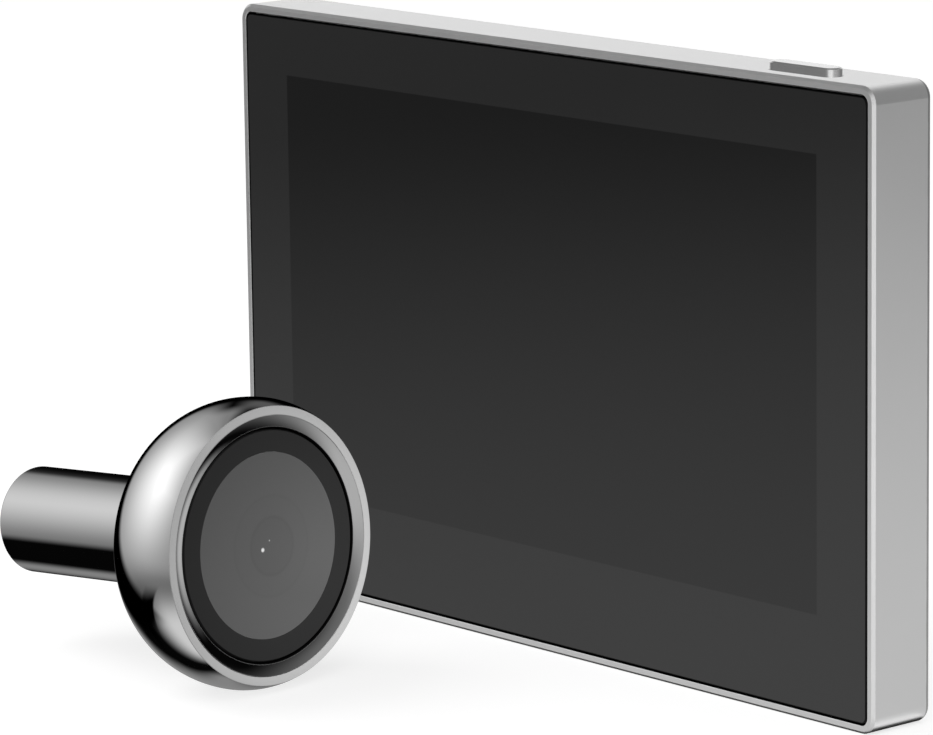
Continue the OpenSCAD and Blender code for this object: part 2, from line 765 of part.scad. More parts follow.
module lamp_board() color("darkgreen") on_camera_axis() difference() {
    disc(lamp_board_r, seal_back, lamp_board_back);
    disc(barrel_d / 2 + 0.6, seal_back - 1, lamp_board_back + 1);
    around(spacer_count, spacer_r, spacer_angle) disc(link_d / 2 + snug, seal_back - 1, lamp_board_back + 1);
}

module infrared_lamps() color("indigo") on_camera_axis()
    around(lamp_count, lamp_ring_r) translate([-lamp_w / 2, -lamp_w / 2, -seal_back])
        cube([lamp_w, lamp_w, lamp_t]);

module lens_barrel() color("black") on_camera_axis() difference() {
    disc(barrel_d / 2, barrel_front, barrel_back);
    disc(lens_d / 2 + snug, barrel_front - 1, barrel_front + 1.5);
    disc(lens_d / 2 - 0.6, barrel_front, barrel_back - 1.5);
    disc(lens_d / 2 + snug, barrel_back - 1.5, barrel_back + 1);
}

// A lens seated in one end of the barrel, bulging towards the front.
module lens(d_back, edge_t, rise) {
    r = lens_d / 2;
    dome_r = (pow(r, 2) + pow(rise, 2)) / (2 * rise);
    dome_angle = asin(r / dome_r);
    rotate_extrude() polygon(concat(
        [[0, -d_back]],
        [[r, -d_back]],
        [for (i = [8 : -1 : 0]) [dome_r * sin(dome_angle * i / 8),
                                 -d_back + edge_t + rise - dome_r * (1 - cos(dome_angle * i / 8))]]));
}

module front_lens() color("lightblue") on_camera_axis() lens(barrel_front + 1.5, 0.9, 0.7);

module rear_lens() color("lightblue") on_camera_axis() lens(barrel_back - 0.4, 0.8, 0.3);

module lens_holder() color("dimgray") on_camera_axis() difference() {
    disc(barrel_d / 2 + holder_wall, holder_front, sensor_board_front);
    disc(barrel_d / 2 + snug, holder_front - 1, barrel_back + snug);
    disc(barrel_d / 2 - holder_ledge, holder_front, sensor_board_front + 1);
}

module image_sensor() color("darkslateblue") on_camera_axis()
    translate([-sensor_w / 2, -sensor_w / 2, -sensor_board_front]) cube([sensor_w, sensor_w, sensor_t]);

module sensor_board() color("darkgreen") on_camera_axis() difference() {
    disc(sensor_board_r, sensor_board_front, sensor_board_back);
    around(spacer_count, spacer_r, spacer_angle)
        disc(link_d / 2 + snug, sensor_board_front - 1, sensor_board_back + 1);
}

module board_spacers() color("goldenrod") on_camera_axis()
    around(spacer_count, spacer_r, spacer_angle)
        ring(link_d / 2 + snug, spacer_d / 2, lamp_board_back, sensor_board_front);

// Long screws from behind the sensor board, through the spacers, into the lamp board.
module spacer_screws() color("dimgray") on_camera_axis()
    around(spacer_count, spacer_r, spacer_angle) {
        disc(link_d / 2, seal_back + room, sensor_board_back + 0.01);
        disc(link_d / 2 + 0.6, sensor_board_back, sensor_board_back + 0.8);
    }

module lead_header() color("ivory") on_camera_axis()
    translate([-camera_lead_w / 2, camera_lead_y - camera_lead_h / 2, -sensor_board_back - camera_lead_t])
        cube([camera_lead_w, camera_lead_h, camera_lead_t]);

// Tube through the door, with a flange inside the head and a thread at its far end.
module tube() color("silver") on_camera_axis() difference() {
    rotate_extrude() polygon([
        [tube_bore_d / 2, -tube_flange_front], [flange_r, -tube_flange_front], [flange_r, -tube_flange_back],
        [collar_r, -tube_flange_back], [collar_r, -head_depth - ring_t],
        [tube_d / 2, -head_depth - ring_t], [tube_d / 2, -tube_end + tube_chamfer],
        [tube_d / 2 - tube_chamfer, -tube_end], [thread_d / 2, -tube_end],
        [thread_d / 2, -tube_end + thread_l], [tube_bore_d / 2, -tube_end + thread_l]
    ]);
    around(flange_screw_count, flange_screw_r)
        disc(flange_screw_d / 2 + snug, tube_flange_front - 1, tube_flange_back + 1);
}

module tube_seal() color("black") on_camera_axis() difference() {
    ring(collar_r + snug, flange_r, tube_flange_back, inner_back);
    around(flange_screw_count, flange_screw_r)
        disc(flange_screw_d / 2 + snug, tube_flange_back - 1, inner_back + 1);
}

module flange_screws() color("dimgray") on_camera_axis()
    around(flange_screw_count, flange_screw_r) {
        disc(flange_screw_head / 2, tube_flange_front - 0.8, tube_flange_front);
        disc(flange_screw_d / 2, tube_flange_front - 0.01, inner_back + tapped_depth - room);
    }

module cable_grommet() color("black") on_camera_axis() rotate_extrude() polygon([
    [grommet_hole_d / 2, -tube_flange_front + grommet_flange],
    [tube_bore_d / 2 + 0.8, -tube_flange_front + grommet_flange],
    [tube_bore_d / 2 + 0.8, -tube_flange_front], [tube_bore_d / 2 - snug, -tube_flange_front],
    [tube_bore_d / 2 - snug, -tube_flange_front - grommet_l],
    [grommet_hole_d / 2, -tube_flange_front - grommet_l]
]);

module rear_ring() color("black") on_camera_axis()
    ring(collar_r + snug, back_r, head_depth, head_depth + ring_t);

frame();
cover_glass();
glass_tape();
display_cell();
light_guide();
backlight_tray();
display_flex();
flex_socket();
main_board();
board_chips();
shield_can();
camera_lead_socket();
charging_socket();
key_switch();
power_key();
switch_plunger();
battery();
battery_pad();
battery_lead();
speaker();
speaker_gasket();
antenna();
rear_cover();
cover_screws();
board_screws();
door_bracket();
bracket_tape();
head_shell();
bezel_ring();
front_disc();
window();
window_seal();
lamp_board();
infrared_lamps();
lens_barrel();
front_lens();
rear_lens();
lens_holder();
image_sensor();
sensor_board();
board_spacers();
spacer_screws();
lead_header();
tube();
tube_seal();
flange_screws();
cable_grommet();
rear_ring();
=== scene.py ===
import json
import math

import bpy
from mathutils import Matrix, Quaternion, Vector

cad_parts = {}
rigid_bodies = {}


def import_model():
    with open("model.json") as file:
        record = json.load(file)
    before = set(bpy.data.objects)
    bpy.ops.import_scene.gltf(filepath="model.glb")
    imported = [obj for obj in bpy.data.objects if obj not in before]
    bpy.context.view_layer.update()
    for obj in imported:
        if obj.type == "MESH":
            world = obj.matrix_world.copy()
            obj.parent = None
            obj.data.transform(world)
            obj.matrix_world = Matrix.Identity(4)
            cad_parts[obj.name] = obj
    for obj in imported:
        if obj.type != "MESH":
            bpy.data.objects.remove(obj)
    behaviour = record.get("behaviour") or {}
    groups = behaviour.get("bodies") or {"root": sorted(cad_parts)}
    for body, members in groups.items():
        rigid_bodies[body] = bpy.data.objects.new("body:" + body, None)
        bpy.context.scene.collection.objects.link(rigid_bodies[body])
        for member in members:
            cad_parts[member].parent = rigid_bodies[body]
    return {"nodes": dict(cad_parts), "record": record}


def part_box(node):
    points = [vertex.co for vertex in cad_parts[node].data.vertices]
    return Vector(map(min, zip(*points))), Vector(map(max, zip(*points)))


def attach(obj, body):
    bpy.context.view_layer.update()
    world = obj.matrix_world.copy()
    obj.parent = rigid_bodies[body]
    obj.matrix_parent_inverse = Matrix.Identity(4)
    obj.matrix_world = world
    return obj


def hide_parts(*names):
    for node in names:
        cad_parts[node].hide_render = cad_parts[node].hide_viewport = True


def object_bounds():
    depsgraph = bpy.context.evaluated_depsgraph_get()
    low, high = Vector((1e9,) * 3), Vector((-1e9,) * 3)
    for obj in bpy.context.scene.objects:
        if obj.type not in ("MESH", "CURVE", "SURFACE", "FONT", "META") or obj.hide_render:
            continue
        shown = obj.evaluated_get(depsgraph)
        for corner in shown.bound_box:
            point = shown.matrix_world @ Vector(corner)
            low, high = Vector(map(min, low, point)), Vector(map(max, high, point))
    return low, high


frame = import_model()
cad_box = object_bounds()

MM = 0.001
nodes = frame["nodes"]
mounts = {mount["name"]: mount for mount in frame["record"]["mounts"]}

# The camera unit's own axis, from the lens to the far end of the tube
TUBE_AXIS = Vector(mounts["door_tube"]["axis"]).normalized()
TUBE_POINT = Vector(mounts["door_tube"]["pos_m"])
TURN_SIDE = TUBE_AXIS.cross(Vector((0, 0, 1))).normalized()
CAMERA_BODY = "door_camera"
TURN_STEPS = 192
# Faces of a turned piece that meet at a larger angle, in degrees, stay sharp
SHARP_ANGLE = 35
SAME_PLANE = 0.02 * MM
SAME_POINT = 0.0005 * MM


def turned(node):
    """Depth along the tube and distance from its axis, for each point of a turned node."""
    places = []
    for vertex in nodes[node].data.vertices:
        offset = vertex.co - TUBE_POINT
        depth = offset.dot(TUBE_AXIS)
        places.append((depth, (offset - depth * TUBE_AXIS).length))
    return places


LIP_OFFSET = min(depth for depth, radius in turned("head_shell"))
LIP_PLACE = TUBE_POINT + LIP_OFFSET * TUBE_AXIS


def depths(node):
    """Front and back of a turned node, counted from the lip of the head."""
    found = [depth - LIP_OFFSET for depth, radius in turned(node)]
    return min(found), max(found)


def radii(node, depth):
    """Smallest and largest radius that a turned node has at one depth behind the lip."""
    found = [r for d, r in turned(node) if abs(d - LIP_OFFSET - depth) < SAME_PLANE]
    return min(found), max(found)


def arc(centre, size, first, last, count):
    """Points on part of an ellipse in (radius, depth), angles in degrees from the radius."""
    points = []
    for i in range(count + 1):
        angle = math.radians(first + (last - first) * i / count)
        points.append((centre[0] + size[0] * math.cos(angle), centre[1] + size[1] * math.sin(angle)))
    return points


# A corner flatter than this angle, in degrees, is left; rounding takes at most this share of a side
FLAT_CORNER = 150
CORNER_SHARE = 0.45


def eased(outline, size, count=4):
    """A closed outline with its sharp corners rounded to about the given size."""
    points = [Vector(point) for point in outline]
    soft = []
    for i, point in enumerate(points):
        back = points[i - 1] - point
        ahead = points[(i + 1) % len(points)] - point
        if back.angle(ahead) > math.radians(FLAT_CORNER):
            soft.append(point)
            continue
        reach = min(size, CORNER_SHARE * back.length, CORNER_SHARE * ahead.length)
        start = point + back.normalized() * reach
        end = point + ahead.normalized() * reach
        for step in range(count + 1):
            t = step / count
            soft.append((1 - t) ** 2 * start + 2 * t * (1 - t) * point + t ** 2 * end)
    return soft


def turn(name, outline):
    """A piece turned about the camera unit's axis from a closed outline of (radius, depth)."""
    path = [LIP_PLACE + point[1] * TUBE_AXIS + point[0] * TURN_SIDE for point in outline]
    bpy.ops.object.select_all(action="DESELECT")
    bpy.ops.mesh.primitive_plane_add(size=MM)
    piece = bpy.context.object
    piece.name = name
    piece.data.name = name
    bpy.ops.object.mode_set(mode="EDIT")
    bpy.ops.mesh.select_mode(type="VERT")
    bpy.ops.mesh.select_all(action="SELECT")
    bpy.ops.mesh.merge(type="CENTER")
    bpy.ops.transform.translate(value=path[0])
    for here, there in zip(path, path[1:] + path[:1]):
        bpy.ops.mesh.extrude_region_move(TRANSFORM_OT_translate={"value": there - here})
    bpy.ops.mesh.select_all(action="SELECT")
    bpy.ops.mesh.spin(steps=TURN_STEPS, angle=2 * math.pi, center=LIP_PLACE, axis=TUBE_AXIS)
    bpy.ops.mesh.select_all(action="SELECT")
    bpy.ops.mesh.remove_doubles(threshold=SAME_POINT)
    bpy.ops.mesh.normals_make_consistent(inside=False)
    bpy.ops.object.mode_set(mode="OBJECT")
    bpy.ops.object.shade_smooth_by_angle(angle=math.radians(SHARP_ANGLE))
    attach(piece, CAMERA_BODY)
    return piece


# Node groups and materials
def join(tree, kind, inputs=None, **settings):
    """One shader node, with its settings and with values or links on its inputs."""
    made = tree.nodes.new(kind)
    for name, value in settings.items():
        setattr(made, name, value)
    for name, value in (inputs or {}).items():
        if isinstance(value, bpy.types.NodeSocket):
            tree.links.new(value, made.inputs[name])
        else:
            made.inputs[name].default_value = value
    return made


def math_node(tree, operation, *values):
    """The result of one math node."""
    return join(tree, "ShaderNodeMath", dict(enumerate(values)), operation=operation).outputs[0]


def ramp(tree, value, low, high, low_to=0.0, high_to=1.0):
    """A smooth step of value from low to high."""
    inputs = {"Value": value, "From Min": low, "From Max": high, "To Min": low_to, "To Max": high_to}
    return join(tree, "ShaderNodeMapRange", inputs, interpolation_type="SMOOTHSTEP").outputs["Result"]


def new_group(name, inputs, outputs):
    """An empty node group; inputs and outputs are name and type, with a start value on inputs."""
    group = bpy.data.node_groups.new(name, "ShaderNodeTree")
    for label, kind, value in inputs:
        socket = group.interface.new_socket(label, in_out="INPUT", socket_type="NodeSocket" + kind)
        if kind != "Vector":
            socket.default_value = value
    for label, kind in outputs:
        group.interface.new_socket(label, in_out="OUTPUT", socket_type="NodeSocket" + kind)
    return group, group.nodes.new("NodeGroupInput").outputs, group.nodes.new("NodeGroupOutput").inputs


# The middle value of a noise, and how strongly the fine grain counts beside the soft patches
NOISE_MIDDLE = 0.5
GRAIN_SHARE = 0.6


def make_finish_group():
    """Soft patches of tone and gloss over a fine grain."""
    group, given, result = new_group("surface_finish", [
        ("Vector", "Vector", None), ("Color", "Color", (0.5, 0.5, 0.5, 1)),
        ("Tone Change", "Float", 0.06), ("Roughness", "Float", 0.4), ("Gloss Change", "Float", 0.05),
        ("Patch Scale", "Float", 60.0), ("Grain Scale", "Float", 3000.0),
    ], [("Color", "Color"), ("Roughness", "Float"), ("Height", "Float")])
    patches = join(group, "ShaderNodeTexNoise", {
        "Vector": given["Vector"], "Scale": given["Patch Scale"], "Detail": 4.0, "Roughness": 0.55})
    grain = join(group, "ShaderNodeTexNoise", {
        "Vector": given["Vector"], "Scale": given["Grain Scale"], "Detail": 2.0})
    centred = math_node(group, "SUBTRACT", patches.outputs["Fac"], NOISE_MIDDLE)
    grain_centred = math_node(group, "SUBTRACT", grain.outputs["Fac"], NOISE_MIDDLE)
    both = math_node(group, "MULTIPLY_ADD", grain_centred, GRAIN_SHARE, centred)
    shift = math_node(group, "ADD", math_node(group, "MULTIPLY", both, given["Tone Change"]), 1.0)
    scaled = join(group, "ShaderNodeVectorMath", {0: given["Color"], "Scale": shift}, operation="SCALE")
    rough_shift = math_node(group, "MULTIPLY", both, given["Gloss Change"])
    rough = math_node(group, "ADD", given["Roughness"], rough_shift)
    group.links.new(scaled.outputs[0], result["Color"])
    group.links.new(rough, result["Roughness"])
    group.links.new(grain.outputs["Fac"], result["Height"])
    return group


# Agreement of the two normals at which wear starts and is full, and the noise that breaks it up
WEAR_START = 0.995
WEAR_FULL = 0.86
WEAR_GAPS = (0.35, 0.65)


def make_wear_group():
    """Mask of rubbed edges: where a rounded normal leaves the true one, broken up by a noise."""
    group, given, result = new_group("edge_wear", [
        ("Vector", "Vector", None), ("Radius", "Float", 0.0003), ("Break Scale", "Float", 400.0),
    ], [("Mask", "Float")])
    rounded = join(group, "ShaderNodeBevel", {"Radius": given["Radius"]}, samples=4)
    true = join(group, "ShaderNodeNewGeometry")
    agree = join(group, "ShaderNodeVectorMath", {0: rounded.outputs[0], 1: true.outputs["Normal"]},
                 operation="DOT_PRODUCT")
    edge = ramp(group, agree.outputs["Value"], WEAR_START, WEAR_FULL)
    noise = join(group, "ShaderNodeTexNoise", {
        "Vector": given["Vector"], "Scale": given["Break Scale"], "Detail": 3.0})
    broken = ramp(group, noise.outputs["Fac"], *WEAR_GAPS)
    group.links.new(math_node(group, "MULTIPLY", edge, broken), result["Mask"])
    return group


# Slant of the wiped streaks in degrees, and the noise values between which they show
STREAK_SLANT = 35
STREAK_RANGE = (0.45, 0.75)


def make_smudge_group():
    """Faint wiped streaks on a glossy face, from 0 to 1."""
    group, given, result = new_group("wiped_streaks", [
        ("Vector", "Vector", None), ("Scale", "Float", 40.0),
    ], [("Value", "Float")])
    stretched = join(group, "ShaderNodeMapping", {
        "Vector": given["Vector"], "Rotation": (0.0, math.radians(STREAK_SLANT), 0.0),
        "Scale": (1.0, 1.0, 0.25)})
    streaks = join(group, "ShaderNodeTexNoise", {
        "Vector": stretched.outputs[0], "Scale": given["Scale"], "Detail": 5.0, "Roughness": 0.65})
    group.links.new(ramp(group, streaks.outputs["Fac"], *STREAK_RANGE), result["Value"])
    return group


FINISH = make_finish_group()
WEAR = make_wear_group()
SMUDGES = make_smudge_group()


def place_group(tree, group, inputs):
    """The outputs of a node group placed in a material, with values or links on its inputs."""
    return join(tree, "ShaderNodeGroup", inputs, node_tree=group).outputs


def grey(value):
    """A grey colour of the given linear value."""
    return (value, value, value, 1.0)


def repaint(tree, mask, color):
    """Another colour over a material's own, where the mask is 1."""
    shader = tree.nodes["Principled BSDF"]
    plain = shader.inputs["Base Color"].links[0].from_socket
    mixed = join(tree, "ShaderNodeMix", {"Factor": mask, "A": plain, "B": color}, data_type="RGBA")
    tree.links.new(mixed.outputs["Result"], shader.inputs["Base Color"])


def make_material(name, color, roughness, metallic=0.0, tone=0.06, gloss=0.05, patch=60.0, grain=3000.0,
                  bump=0.01 * MM, worn=None, ior=1.45):
    """A material with patches and grain, and with rubbed edges of another colour if asked for."""
    material = bpy.data.materials.new(name)
    material.use_nodes = True
    tree = material.node_tree
    shader = tree.nodes["Principled BSDF"]
    shader.inputs["Metallic"].default_value = metallic
    shader.inputs["IOR"].default_value = ior
    places = tree.nodes.new("ShaderNodeTexCoord").outputs["Object"]
    finish = place_group(tree, FINISH, {
        "Vector": places, "Color": color, "Tone Change": tone, "Roughness": roughness,
        "Gloss Change": gloss, "Patch Scale": patch, "Grain Scale": grain})
    tree.links.new(finish["Color"], shader.inputs["Base Color"])
    tree.links.new(finish["Roughness"], shader.inputs["Roughness"])
    if worn:
        repaint(tree, place_group(tree, WEAR, {"Vector": places})["Mask"], worn)
    if bump:
        raised = join(tree, "ShaderNodeBump", {
            "Height": finish["Height"], "Strength": 0.3, "Distance": bump})
        tree.links.new(raised.outputs["Normal"], shader.inputs["Normal"])
    return material


FRAME_METAL = grey(0.63)
FRAME_EDGE = grey(0.74)
FINISH_SETTINGS = {
    "frame_aluminium": {"color": FRAME_METAL, "roughness": 0.36, "metallic": 1.0, "worn": FRAME_EDGE,
                        "grain": 6000.0, "bump": 0.02 * MM},
    "key_aluminium": {"color": grey(0.62), "roughness": 0.16, "metallic": 1.0, "worn": FRAME_EDGE,
                      "grain": 6000.0},
    "cover_aluminium": {"color": grey(0.34), "roughness": 0.42, "metallic": 1.0, "worn": grey(0.5),
                        "grain": 5000.0, "bump": 0.03 * MM},
    "display": {"color": grey(0.004), "roughness": 0.2},
    "white_plastic": {"color": grey(0.75), "roughness": 0.4},
    "sheet_aluminium": {"color": grey(0.7), "roughness": 0.3, "metallic": 1.0, "patch": 25.0},
    "ribbon": {"color": (0.45, 0.22, 0.05, 1), "roughness": 0.35},
    "socket_plastic": {"color": (0.72, 0.68, 0.55, 1), "roughness": 0.4},
    "circuit_board": {"color": (0.012, 0.09, 0.035, 1), "roughness": 0.35, "tone": 0.4, "patch": 300.0},
    "black_plastic": {"color": grey(0.018), "roughness": 0.45, "tone": 0.3, "bump": 0.04 * MM},
    "plated_steel": {"color": grey(0.6), "roughness": 0.28, "metallic": 1.0, "worn": grey(0.75)},
    "battery_foil": {"color": grey(0.45), "roughness": 0.35, "metallic": 1.0, "patch": 150.0,
                     "gloss": 0.2},
    "lead_sleeve": {"color": (0.5, 0.02, 0.02, 1), "roughness": 0.45},
    "black_rubber": {"color": grey(0.012), "roughness": 0.6, "tone": 0.3, "bump": 0.04 * MM},
    "brass": {"color": (0.72, 0.5, 0.2, 1), "roughness": 0.3, "metallic": 1.0},
    "bracket_steel": {"color": grey(0.58), "roughness": 0.34, "metallic": 1.0, "worn": grey(0.72),
                      "patch": 90.0, "gloss": 0.14, "bump": 0.03 * MM},
    "foam_tape": {"color": grey(0.05), "roughness": 0.8, "tone": 0.4, "grain": 1500.0, "bump": 0.1 * MM},
    "lamp": {"color": (0.03, 0.012, 0.03, 1), "roughness": 0.08},
    "lens_glass": {"color": (0.01, 0.012, 0.02, 1), "roughness": 0.03, "bump": 0},
    "black_gloss": {"color": grey(0.0235), "roughness": 0.4, "tone": 0.12, "gloss": 0.04, "bump": 0},
}
finishes = {name: make_material(name, **settings) for name, settings in FINISH_SETTINGS.items()}

# The rebate of the frame round the glass has painted black shade, standing for the dark gap round the
# glass, from a little behind its lip
GLASS_GAP = 0.35 * MM
REBATE_START = 0.1 * MM
REBATE_REACH = 0.03 * MM
PAINTED_SHADE_BLACK = grey(0.006)


def paint_black_shade(material, mask):
    """Painted black shade on polished or satin metal, where the mask is 1."""
    tree = material.node_tree
    shader = tree.nodes["Principled BSDF"]
    repaint(tree, mask, PAINTED_SHADE_BLACK)
    tree.links.new(math_node(tree, "SUBTRACT", 1.0, mask), shader.inputs["Metallic"])
    shader.inputs["Specular IOR Level"].default_value = 0.0


def paint_rebate_shade(material):
    """Painted black shade on the faces of the frame that stand round the glass."""
    tree = material.node_tree
    glass_low, glass_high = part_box("cover_glass")
    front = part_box("frame")[0].y
    middle = (glass_low + glass_high) / 2
    half = (glass_high - glass_low) / 2 + Vector((GLASS_GAP, 0, GLASS_GAP))
    places = tree.nodes.new("ShaderNodeTexCoord").outputs["Object"]
    split = join(tree, "ShaderNodeSeparateXYZ", {0: places}).outputs
    mask = ramp(tree, split["Y"], front + REBATE_START, front + 2 * REBATE_START)
    for side in "XZ":
        centre = getattr(middle, side.lower())
        limit = getattr(half, side.lower()) + REBATE_REACH
        aside = math_node(tree, "ABSOLUTE", math_node(tree, "SUBTRACT", split[side], centre))
        mask = math_node(tree, "MULTIPLY", mask, math_node(tree, "LESS_THAN", aside, limit))
    paint_black_shade(material, mask)


paint_rebate_shade(finishes["frame_aluminium"])


def from_lip(tree):
    """Places on a surface, counted from the middle of the head's lip."""
    places = tree.nodes.new("ShaderNodeTexCoord").outputs["Object"]
    pair = {0: places, 1: LIP_PLACE}
    return join(tree, "ShaderNodeVectorMath", pair, operation="SUBTRACT").outputs[0]


def axis_depth(tree):
    """Depth behind the lip, along the camera unit's axis."""
    pair = {0: from_lip(tree), 1: TUBE_AXIS}
    return join(tree, "ShaderNodeVectorMath", pair, operation="DOT_PRODUCT").outputs["Value"]


def axis_distance(tree):
    """Distance from the camera unit's axis."""
    pair = {0: from_lip(tree), 1: TUBE_AXIS}
    aside = join(tree, "ShaderNodeVectorMath", pair, operation="CROSS_PRODUCT").outputs[0]
    return join(tree, "ShaderNodeVectorMath", {0: aside}, operation="LENGTH").outputs["Value"]


# Polished metal
CHROME = grey(0.82)
CHROME_ROUGHNESS = 0.045
# The satin lip of the head: how deep it goes and is full, and how far it hides the metal
LIP_BAND = 0.12 * MM
LIP_BAND_FULL = 0.048 * MM
LIP_TONE = grey(0.41)
LIP_ROUGHNESS = 0.45
LIP_COVER = 0.9
# The wall of the groove round the disc gets painted black shade, which starts and is full this far
# before the disc's face
DISC_FACE = depths("front_disc")[0]
GROOVE_START = 0.07 * MM
GROOVE_FULL = 0.03 * MM
# The bore of the tube has painted black shade, which reaches this far onto its rounded end
BORE_EDGE = 0.1 * MM


def make_chrome(name):
    """Plain polished metal."""
    return make_material(name, CHROME, CHROME_ROUGHNESS, 1.0, tone=0.03, gloss=0.03, patch=90.0, bump=0)


def make_head_chrome():
    """Polished metal with a satin front lip."""
    material = make_chrome("chrome_head")
    tree = material.node_tree
    shader = tree.nodes["Principled BSDF"]
    lip = ramp(tree, axis_depth(tree), LIP_BAND, LIP_BAND_FULL)
    metal = math_node(tree, "SUBTRACT", 1.0, math_node(tree, "MULTIPLY", lip, LIP_COVER))
    tree.links.new(metal, shader.inputs["Metallic"])
    polish = shader.inputs["Roughness"].links[0].from_socket
    satin = join(tree, "ShaderNodeMix", {"Factor": lip, "A": polish, "B": LIP_ROUGHNESS})
    tree.links.new(satin.outputs["Result"], shader.inputs["Roughness"])
    repaint(tree, lip, LIP_TONE)
    return material


def make_dish_chrome():
    """Polished metal, with painted black shade on the wall of the groove that goes in round the disc."""
    material = make_chrome("chrome_dish")
    tree = material.node_tree
    groove = ramp(tree, axis_depth(tree), DISC_FACE - GROOVE_START, DISC_FACE - GROOVE_FULL)
    paint_black_shade(material, groove)
    return material


def make_tube_chrome():
    """Polished metal, with painted black shade in the bore."""
    material = make_chrome("chrome_tube")
    tree = material.node_tree
    bore = radii("tube", depths("tube")[1])[0]
    paint_black_shade(material, ramp(tree, axis_distance(tree), bore + 2 * BORE_EDGE, bore + BORE_EDGE))
    return material


finishes["chrome"] = make_chrome("chrome")
finishes["chrome_tube"] = make_tube_chrome()
finishes["chrome_head"] = make_head_chrome()
finishes["chrome_dish"] = make_dish_chrome()

# Printed cover glass: a dark grey border round the black picture area
CELL_SIDE = 3.4 * MM
CELL_TOP = 3.0 * MM
CELL_BOTTOM = 5.7 * MM
PRINT_EDGE = 0.06 * MM
BORDER_TONE = grey(0.015)
# The black of the picture area, which is also painted on the glass's edge as shade
PICTURE_AND_EDGE_SHADE_TONE = grey(0.0008)
# Roughness of the clean glass and of the wiped streaks
GLASS_ROUGHNESS = 0.03
STREAK_ROUGHNESS = 0.09
# The dull ground edge of the glass, with painted black shade for the dark gap round it, starts this far
# behind its face
GLASS_EDGE = 0.02 * MM
GROUND_ROUGHNESS = 1.0


def make_cover_glass():
    """Glossy glass with a printed border, faint streaks and a dull edge with painted black shade."""
    material = make_material("black_glass", BORDER_TONE, GLASS_ROUGHNESS, tone=0.1, gloss=0.0,
                             patch=30.0, bump=0, ior=1.5)
    tree = material.node_tree
    shader = tree.nodes["Principled BSDF"]
    low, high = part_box("display_cell")
    middle = (low + high + Vector((0, 0, CELL_BOTTOM - CELL_TOP))) / 2
    half_w = (high.x - low.x) / 2 - CELL_SIDE
    half_h = (high.z - low.z - CELL_TOP - CELL_BOTTOM) / 2
    places = tree.nodes.new("ShaderNodeTexCoord").outputs["Object"]
    split = join(tree, "ShaderNodeSeparateXYZ", {0: places}).outputs
    across = math_node(tree, "ABSOLUTE", math_node(tree, "SUBTRACT", split["X"], middle.x))
    upright = math_node(tree, "ABSOLUTE", math_node(tree, "SUBTRACT", split["Z"], middle.z))
    inside = math_node(tree, "MULTIPLY", ramp(tree, across, half_w + PRINT_EDGE, half_w - PRINT_EDGE),
                       ramp(tree, upright, half_h + PRINT_EDGE, half_h - PRINT_EDGE))
    repaint(tree, inside, PICTURE_AND_EDGE_SHADE_TONE)
    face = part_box("cover_glass")[0].y
    # Painted black shade on the edge, where the gap round the glass is dark
    edge = ramp(tree, split["Y"], face + GLASS_EDGE, face + 2 * GLASS_EDGE)
    repaint(tree, edge, PICTURE_AND_EDGE_SHADE_TONE)
    streaks = place_group(tree, SMUDGES, {"Vector": places})["Value"]
    rough = join(tree, "ShaderNodeMapRange", {
        "Value": streaks, "To Min": GLASS_ROUGHNESS, "To Max": STREAK_ROUGHNESS})
    ground = join(tree, "ShaderNodeMix", {
        "Factor": edge, "A": rough.outputs["Result"], "B": GROUND_ROUGHNESS})
    tree.links.new(ground.outputs["Result"], shader.inputs["Roughness"])
    return material


finishes["black_glass"] = make_cover_glass()

# Painted shade rings of the lens, put into the window's colour where the lens shows faintly behind it:
# radius, width and tone of the line, tone inside
PAINTED_LENS_RINGS = ((7.0 * MM, 0.35 * MM, 0.94, 0.98), (4.0 * MM, 0.4 * MM, 0.88, 0.94))
# Painted glints of the lens, lighter spots in the window's colour: to the right of its axis, above it,
# and radius
PAINTED_LENS_GLINTS = ((-1.85 * MM, -0.25 * MM, 0.42 * MM), (-0.5 * MM, 0.85 * MM, 0.22 * MM))
PAINTED_GLINT_TONE = grey(0.6)
GLINT_CORE = 0.4
WINDOW_TONE = grey(0.072)
WINDOW_ROUGHNESS = 0.32


def make_smoked_window():
    """Grey smoked plastic with painted shade rings and painted glints of the lens behind it."""
    material = make_material("smoked_window", WINDOW_TONE, WINDOW_ROUGHNESS, tone=0.06, gloss=0.04,
                             patch=50.0, bump=0, ior=1.35)
    tree = material.node_tree
    shader = tree.nodes["Principled BSDF"]
    places = tree.nodes.new("ShaderNodeTexCoord").outputs["Object"]
    radius = axis_distance(tree)
    tone = 1.0
    # Painted shade rings of the lens behind the window
    for ring, line, line_tone, inside in PAINTED_LENS_RINGS:
        off_line = math_node(tree, "ABSOLUTE", math_node(tree, "SUBTRACT", radius, ring))
        tone = math_node(tree, "MULTIPLY", ramp(tree, off_line, 0.0, line, line_tone, 1.0), tone)
        tone = math_node(tree, "MULTIPLY", ramp(tree, radius, ring - line, ring, inside, 1.0), tone)
    plain = shader.inputs["Base Color"].links[0].from_socket
    shaded = join(tree, "ShaderNodeVectorMath", {0: plain, "Scale": tone}, operation="SCALE")
    tree.links.new(shaded.outputs[0], shader.inputs["Base Color"])
    up_side = TURN_SIDE.cross(TUBE_AXIS)
    # Painted glints of the lens
    for aside, above, size in PAINTED_LENS_GLINTS:
        place = LIP_PLACE + aside * TURN_SIDE + above * up_side
        away = join(tree, "ShaderNodeVectorMath", {0: places, 1: place}, operation="DISTANCE")
        repaint(tree, ramp(tree, away.outputs["Value"], size, GLINT_CORE * size), PAINTED_GLINT_TONE)
    return material


finishes["smoked_window"] = make_smoked_window()

# Each node takes the finish of its slot
for part in frame["record"]["subparts"]:
    finish = finishes[part["material_slot"]]
    nodes[part["node"]].data.materials.clear()
    nodes[part["node"]].data.materials.append(finish)

# The key shares the frame's slot, but is smoother
nodes["power_key"].data.materials[0] = finishes["key_aluminium"]


